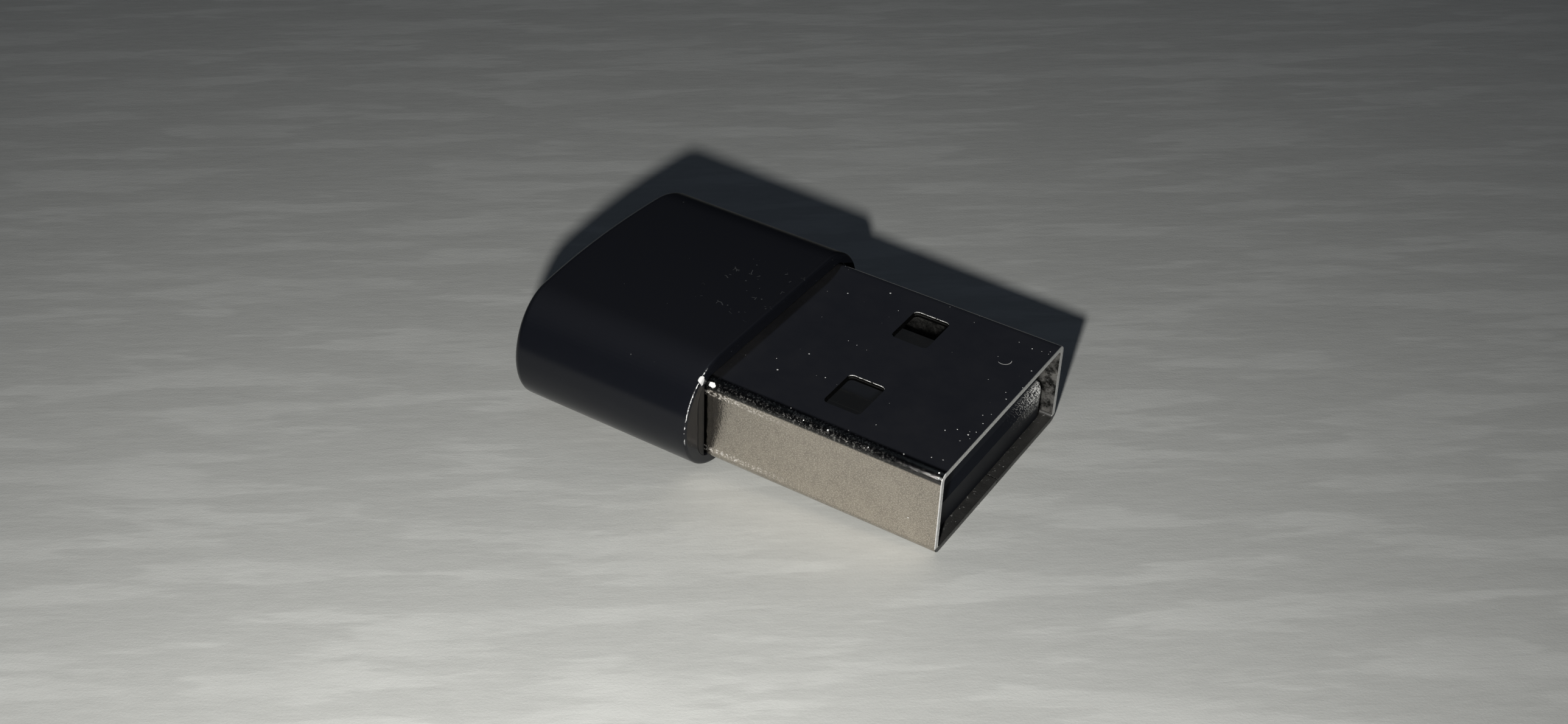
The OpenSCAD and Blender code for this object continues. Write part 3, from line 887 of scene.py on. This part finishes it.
def inner_steel():
    """Inside of the tube: duller, darker plating with smudges, painted light on its far wall, and
    debris near the opening.
    """
    s = Shader("inner_steel")
    smudge = s.noise(2.2, 4, 0.65)
    debris = s.noise(7, 5, 0.7)
    tone = s.mix_color(s.spread(smudge, 0.35, 0.65), (0.06, 0.059, 0.057), (0.15, 0.147, 0.14))
    # Painted light: paler mottles on the far wall's inner face near the opening, where the lamp
    # shines in
    painted_light_far_wall = s.times(s.spread(s.y, PLUG_HALF_W - 0.5, PLUG_HALF_W - 0.35),
                       s.spread(s.x, 9, 11.5))
    tone = s.mix_color(s.times(painted_light_far_wall, s.spread(smudge, 0.4, 0.6)), tone, PAINTED_PALE_MOTTLE)
    # Dirty floor of the opening, ahead of the insulator's nose
    dirt = s.times(s.spread(s.x, NOSE_X - 0.3, NOSE_X - 0.2), s.spread(s.z, -1.8, -1.7, 1, 0))
    dirt_color = s.mix_color(smudge, (0.03, 0.03, 0.029), (0.075, 0.074, 0.071))
    tone = s.mix_color(dirt, tone, dirt_color)
    corner = s.between(s.x, NOSE_X - 0.1, NOSE_X + 0.08, 0.1)
    grains = s.most(s.times(corner, s.spread(debris, 0.61, 0.66)), s.specks(3, 0.035, 0.15))
    s.set("Base Color", s.mix_color(s.times(grains, 0.8), tone, (0.6, 0.6, 0.58)))
    s.set("Metallic", s.spread(dirt, 0, 1, 1, 0.45))
    s.set("Roughness", s.spread(smudge, 0.3, 0.7, 0.34, 0.52))
    s.set("Normal", s.bump(debris, 0.05, 0.5))
    return s.material


def window_cut(s, shear):
    """Windows' cut walls: the colour, with painted light on the walls that face the lamp, and the
    mask of their painted highlight along the top edge.
    """
    wander = s.spread(s.noise(4, 3), 0.3, 0.7, -0.012, 0.012)
    depth = s.plus(s.math("SUBTRACT", PLUG_HALF_H, s.math("ABSOLUTE", s.z)), wander)
    # Only the walls that face the near side, where the lamp is, get a painted highlight and a
    # painted light band
    to_near = s.spread(s.facing_y, -0.5, -0.25, 1, 0)
    painted_highlight_line = s.times(s.spread(depth, 0.03, 0.05, 1, 0), s.spread(s.z, 0, 1), to_near,
                   s.spread(shear, 0.36, 0.44))
    painted_light_band = s.times(s.between(depth, 0.14, 0.165, 0.02), to_near)
    wall = s.mix_color(painted_light_band, (0.035, 0.035, 0.034), (0.24, 0.236, 0.225))
    painted_highlight_color = s.mix_color(s.spread(shear, 0.42, 0.56), (0.4, 0.4, 0.385), (0.9, 0.9, 0.88))
    return s.mix_color(painted_highlight_line, wall, painted_highlight_color), painted_highlight_line


def rim_cut(s, shear, near_wall):
    """Open end's edge: bright, with a painted dark line between two highlights on the near side
    wall, dark underneath.
    """
    rim = s.mix_color(s.spread(shear, 0.35, 0.6), (0.62, 0.62, 0.61), (0.84, 0.84, 0.83))
    # Painted dark line between the two highlights of the near side wall's edge
    line = s.between(s.y, -PLUG_HALF_W + 0.13, -PLUG_HALF_W + 0.16, 0.02)
    rim = s.mix_color(s.times(near_wall, line), rim, (0.25, 0.25, 0.24))
    underside = s.spread(s.z, -PLUG_HALF_H + 0.3, -PLUG_HALF_H + 0.38, 1, 0)
    return s.mix_color(underside, rim, (0.08, 0.08, 0.078))


def cut_steel():
    """Sheared edge: bright at the plug's open end with painted highlights on the near side, painted
    light bands in the windows, dark underneath.
    """
    s = Shader("cut_steel")
    shear = s.noise(9, 5, 0.7)
    window, painted_highlight_line = window_cut(s, shear)
    near_wall = s.math("SUBTRACT", 1.0, s.spread(s.y, -PLUG_HALF_W + 0.31, -PLUG_HALF_W + 0.4))
    at_rim = s.spread(s.x, PLUG_LENGTH - 0.3, PLUG_LENGTH - 0.2)
    s.set("Base Color", s.mix_color(at_rim, window, rim_cut(s, shear, near_wall)))
    # Painted highlight: the near side wall's end and the windows' highlight lines are whitish and
    # less metallic
    painted_light_patches = s.times(near_wall, s.spread(s.z, -PLUG_HALF_H + 0.3, -PLUG_HALF_H + 0.5))
    whitish = s.mix(at_rim, painted_highlight_line, painted_light_patches)
    s.set("Metallic", s.math("SUBTRACT", 1.0, s.times(whitish, 0.8)))
    s.set("Roughness", s.mix(whitish, 0.4, 0.55))
    s.set("Normal", s.bump(shear, 0.02, 0.4))
    return s.material


# ---------------------------------------------------------------- the other materials

# Stray light inside the plug, which the eye and a camera see in its openings
STRAY_LIGHT = 0.0078
STRAY_TINT = (0.88, 0.93, 1.0, 1)
INSULATOR_BLACK = (0.0054, 0.0064, 0.0095)


def insulator_plastic():
    """Dull black block and tongue, with painted light on top under the far window and a painted
    highlight at the far end of the nose.
    """
    s = Shader("insulator_plastic", roughness=0.45)
    # Painted light: the far half of the tongue's top, seen lit through the far window
    tongue_top = s.times(s.spread(s.z, -0.04, -0.01), s.spread(s.x, NOSE_X - 3, NOSE_X - 2, 1, 0),
                         s.spread(s.y, 1.5, 3))
    painted_window_light = s.times(tongue_top, s.spread(s.noise(2.5, 4, 0.6), 0.35, 0.6))
    color = s.mix_color(painted_window_light, INSULATOR_BLACK, (0.04, 0.04, 0.04))
    # Painted highlight: speckled light at the far end of the nose's top edge, from the lamp's light
    # off the far wall
    far_end = s.times(s.spread(s.x, NOSE_X - 0.5, NOSE_X - 0.35), s.spread(s.y, 1.5, 4.6),
                      s.spread(s.z, -1.1, -0.35))
    uneven = s.plus(s.noise(11, 4, 0.75), s.spread(s.y, 1.5, 4.8, -0.13, 0.04))
    painted_nose_glint = s.times(far_end, s.spread(uneven, 0.5, 0.56))
    dust_and_glint = s.most(painted_nose_glint, s.times(s.specks(2.4, 0.035, 0.15), 0.4))
    s.set("Base Color", s.mix_color(dust_and_glint, color, (0.75, 0.75, 0.73)))
    s.set("Specular IOR Level", 0.1)
    # The glow is left off the nose, which faces the room
    s.set("Emission Color", STRAY_TINT)
    s.set("Emission Strength", s.spread(s.facing_x, 0.4, 0.95, STRAY_LIGHT, 0))
    s.set("Normal", s.bump(s.noise(9, 4, 0.6), 0.01, 0.4))
    return s.material


def moulded(name, color, roughness, grain=10, depth=0.008):
    """Plain moulded or ceramic finish with a fine grain and a little colour variation."""
    s = Shader(name)
    dark = [c * 0.85 for c in color]
    light = [min(1, c * 1.15) for c in color]
    s.set("Base Color", s.mix_color(s.spread(s.noise(1.2, 3), 0.3, 0.7), dark, light))
    smooth, rough = roughness * 0.85, min(1, roughness * 1.15)
    s.set("Roughness", s.spread(s.noise(3, 2), 0.3, 0.7, smooth, rough))
    s.set("Normal", s.bump(s.noise(grain, 4, 0.6), depth, 0.4))
    return s.material


def plated(name, color, roughness, grain=8, depth=0.01, lift=0.0):
    """Metal finish with fine unevenness and slightly varying sheen; lift is stray light on it."""
    s = Shader(name, color, metallic=1.0)
    s.set("Emission Color", STRAY_TINT)
    s.set("Emission Strength", lift)
    s.set("Roughness", s.spread(s.noise(2, 3), 0.3, 0.7, roughness * 0.7, roughness * 1.3))
    s.set("Normal", s.bump(s.noise(grain, 4, 0.6), depth, 0.3))
    return s.material


def board_laminate():
    """Solder mask over glass cloth."""
    s = Shader("board_laminate", roughness=0.3)
    # Radians of the weave's waves to the millimetre
    pitch = 14
    weave = s.times(s.math("SINE", s.times(s.x, pitch)), s.math("SINE", s.times(s.y, pitch)))
    s.set("Normal", s.bump(weave, 0.01, 0.2))
    tone = s.spread(s.noise(1, 3), 0.3, 0.7)
    s.set("Base Color", s.mix_color(tone, (0.01, 0.06, 0.03), (0.016, 0.085, 0.04)))
    return s.material


def light_pipe_plastic():
    """Clear plastic with a faint frosting."""
    s = Shader("light_pipe", (0.72, 0.76, 0.78), 0.35)
    s.set("Transmission Weight", 0.75)
    s.set("IOR", 1.58)
    s.set("Normal", s.bump(s.noise(12, 3), 0.01, 0.5))
    return s.material


# ---------------------------------------------------------------- carried-over CAD nodes

# Rounding of sharp edges: on the two larger mouldings, and on all the small parts
MOULDING_EDGE = 0.05
SMALL_EDGE = 0.025
MOULDINGS = ("board_tray", "plug_insulator")


def board_looks():
    """Materials of the parts on the board, by node."""
    tin = plated("tin", (0.72, 0.73, 0.74), 0.3)
    chip_black = moulded("chip_black", (0.018, 0.018, 0.02), 0.55)
    alumina = moulded("alumina", (0.72, 0.7, 0.63), 0.6)
    looks = {
        "wifi_chip": chip_black, "voltage_regulator": chip_black, "resistors": chip_black,
        "crystal_base": alumina, "chip_antenna": alumina, "matching_coils": alumina,
        "crystal_lid": plated("can_lid", (0.75, 0.76, 0.78), 0.28),
        "capacitors": moulded("brown_ceramic", (0.3, 0.19, 0.1), 0.5),
        "ferrite_bead": moulded("dark_ceramic", (0.07, 0.07, 0.075), 0.45),
        "status_led": moulded("led_lens", (0.7, 0.78, 0.6), 0.25),
        "light_pipe": light_pipe_plastic(),
    }
    for node in ("wifi_chip_leads", "antenna_terminals", "regulator_leads", "coil_terminals",
                 "capacitor_terminals", "resistor_terminals", "ferrite_terminals",
                 "led_terminals"):
        looks[node] = tin
    return looks


def carrier_looks():
    """Materials of the tray, the insulator, the contacts, the board and the solder, by node."""
    gold = plated("contact_gold", (0.34, 0.31, 0.25), 0.34, lift=STRAY_LIGHT)
    solder = plated("solder", (0.7, 0.71, 0.72), 0.22, 5, 0.03)
    looks = {
        "board_tray": tray_plastic(),
        "plug_insulator": insulator_plastic(),
        "circuit_board": board_laminate(),
        "board_copper": plated("copper", (0.8, 0.45, 0.28), 0.28),
        "contact_solder": solder, "shell_solder": solder,
    }
    for name in ("vbus", "data_minus", "data_plus", "ground"):
        looks[name + "_contact"] = gold
    return looks


def paint_cad_nodes():
    """Gives every carried-over CAD node its material and softens its edges."""
    looks = {**carrier_looks(), **board_looks()}
    for node, material in looks.items():
        obj = NODES[node]
        obj.data.materials.clear()
        obj.data.materials.append(material)
        soften_edges(obj, MOULDING_EDGE if node in MOULDINGS else SMALL_EDGE)


# ---------------------------------------------------------------- stage

FLOOR_SIDE = 2000.0
FLOOR_STEPS = 8
FLOOR_GAP = 0.01
FLOOR_STREAK_TURN = -32.7
CAMERA_AZIMUTH = math.radians(31.0)
CAMERA_ELEVATION = math.radians(36.4)
CAMERA_ROLL = 2.25
CAMERA_DISTANCE = 96.0
CAMERA_AIM = Vector((0.56, -0.13, -0.05))
CAMERA_LENS = 45.98
KEY_PLACE = Vector((31.9, -66.6, 38.1))
KEY_AIM = Vector((-4.7, -27.5, 0.0))
KEY_WATTS = 0.0725
KEY_SIZE = 4.2
KEY_COLOR = (1.0, 0.985, 0.95)

# Room light by height: 0 is the horizon and everything below it, 1 is straight overhead
ROOM_HORIZON = (0.0, (0.0122, 0.0146, 0.02, 1))
ROOM_WALLS_END = (0.955, (0.0108, 0.0126, 0.0192, 1))
ROOM_OVERHEAD = (0.975, (0.2, 0.24, 0.265, 1))


def aim(location, target, roll_degrees=0.0):
    """Matrix of a camera or light at location that looks at target, in millimetres."""
    back = (location - target).normalized()
    right = Vector((0, 0, 1)).cross(back).normalized()
    turn = Matrix((right, back.cross(right), back)).transposed().to_4x4()
    roll = Matrix.Rotation(math.radians(roll_degrees), 4, "Z")
    return Matrix.Translation(location * MM) @ turn @ roll


def add_camera():
    """Camera that looks down at the plug from the front left."""
    level = math.cos(CAMERA_ELEVATION)
    away = Vector((math.sin(CAMERA_AZIMUTH) * level, -math.cos(CAMERA_AZIMUTH) * level,
                   math.sin(CAMERA_ELEVATION)))
    data = bpy.data.cameras.new("camera")
    data.sensor_fit = "HORIZONTAL"
    data.sensor_width = 36
    data.lens = CAMERA_LENS
    data.clip_start = 1 * MM
    data.clip_end = 10
    camera = bpy.data.objects.new("camera", data)
    camera.matrix_world = aim(CAMERA_AIM + away * CAMERA_DISTANCE, CAMERA_AIM, CAMERA_ROLL)
    bpy.context.scene.collection.objects.link(camera)
    bpy.context.scene.camera = camera


def floor_material():
    """Pale, nearly plain surface: soft whitish streaks and a fine grain."""
    s = Shader("floor", roughness=0.6)
    streak = s.noise(0.55, 4, 0.55, (0.16, 1, 1), FLOOR_STREAK_TURN)
    fibre = s.noise(2.6, 4, 0.65, (0.25, 1, 1), FLOOR_STREAK_TURN)
    patch = s.noise(0.16, 2, 0.5, turn=FLOOR_STREAK_TURN)
    grain = s.noise(9, 3, 0.6)
    whitish = s.times(s.spread(streak, 0.5, 0.57, smooth=True),
                      s.spread(patch, 0.35, 0.6, 0.35, 1))
    tone = s.plus(s.spread(streak, 0.3, 0.7, 0, 0.25), s.times(whitish, 0.36),
                  s.spread(fibre, 0.3, 0.7, 0, 0.25), s.spread(grain, 0.3, 0.7, 0, 0.14))
    s.set("Base Color", s.mix_color(tone, (0.525, 0.533, 0.514), (0.705, 0.715, 0.692)))
    s.set("Normal", s.bump(fibre, 0.03, 0.4, s.bump(grain, 0.02, 0.4)))
    return s.material


def add_floor():
    """Pale floor that the adapter rests on, nose down: it touches the plug's and the body's edge."""
    row = FLOOR_STEPS + 1
    ticks = [(i / FLOOR_STEPS - 0.5) * FLOOR_SIDE for i in range(row)]
    points = [(x, y, 0) for x in ticks for y in ticks]
    corners = [i * row + j for i in range(FLOOR_STEPS) for j in range(FLOOR_STEPS)]
    floor = add_mesh("floor", points, [(a, a + row, a + row + 1, a + 1) for a in corners])
    tilt = math.atan2(BODY_HALF_T - PLUG_HALF_H, PLUG_LENGTH)
    lower = Matrix.Translation((0, 0, (-BODY_HALF_T - FLOOR_GAP) * MM))
    floor.matrix_world = lower @ Matrix.Rotation(-tilt, 4, "Y")
    floor.data.materials.append(floor_material())


def add_key_light():
    """One small lamp on the near side, aimed short of the adapter; it casts the soft shadow."""
    data = bpy.data.lights.new("key", "AREA")
    data.shape = "DISK"
    data.size = KEY_SIZE * MM
    data.energy = KEY_WATTS
    data.color = KEY_COLOR
    light = bpy.data.objects.new("key", data)
    light.matrix_world = aim(KEY_PLACE, KEY_AIM)
    bpy.context.scene.collection.objects.link(light)


def add_world():
    """Dim room that is lighter straight overhead."""
    world = bpy.data.worlds.new("room")
    bpy.context.scene.world = world
    world.use_nodes = True
    tree = world.node_tree
    background = tree.nodes["Background"]
    coords = tree.nodes.new("ShaderNodeTexCoord")
    split = tree.nodes.new("ShaderNodeSeparateXYZ")
    ramp = tree.nodes.new("ShaderNodeValToRGB")
    tree.links.new(coords.outputs["Generated"], split.inputs[0])
    tree.links.new(split.outputs[2], ramp.inputs[0])
    tree.links.new(ramp.outputs[0], background.inputs["Color"])
    stops = ramp.color_ramp.elements
    stops[0].position, stops[0].color = ROOM_HORIZON
    stops[1].position, stops[1].color = ROOM_WALLS_END
    stops.new(ROOM_OVERHEAD[0]).color = ROOM_OVERHEAD[1]
    background.inputs["Strength"].default_value = 1.0


# ---------------------------------------------------------------- scene

def put_in_place(obj, node):
    """Lets a rebuilt piece stand in for a CAD node."""
    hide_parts(node)
    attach(obj, "root")


def main():
    """Builds the two rebuilt pieces, the finishes and the stage."""
    housing = build_housing()
    housing.data.materials.append(housing_plastic())
    put_in_place(housing, "rear_housing")
    shell = build_shell()
    finish_shell(shell)
    put_in_place(shell, "plug_shell")
    paint_cad_nodes()
    add_floor()
    add_key_light()
    add_world()
    add_camera()
    bpy.context.scene.view_settings.view_transform = "Standard"


main()
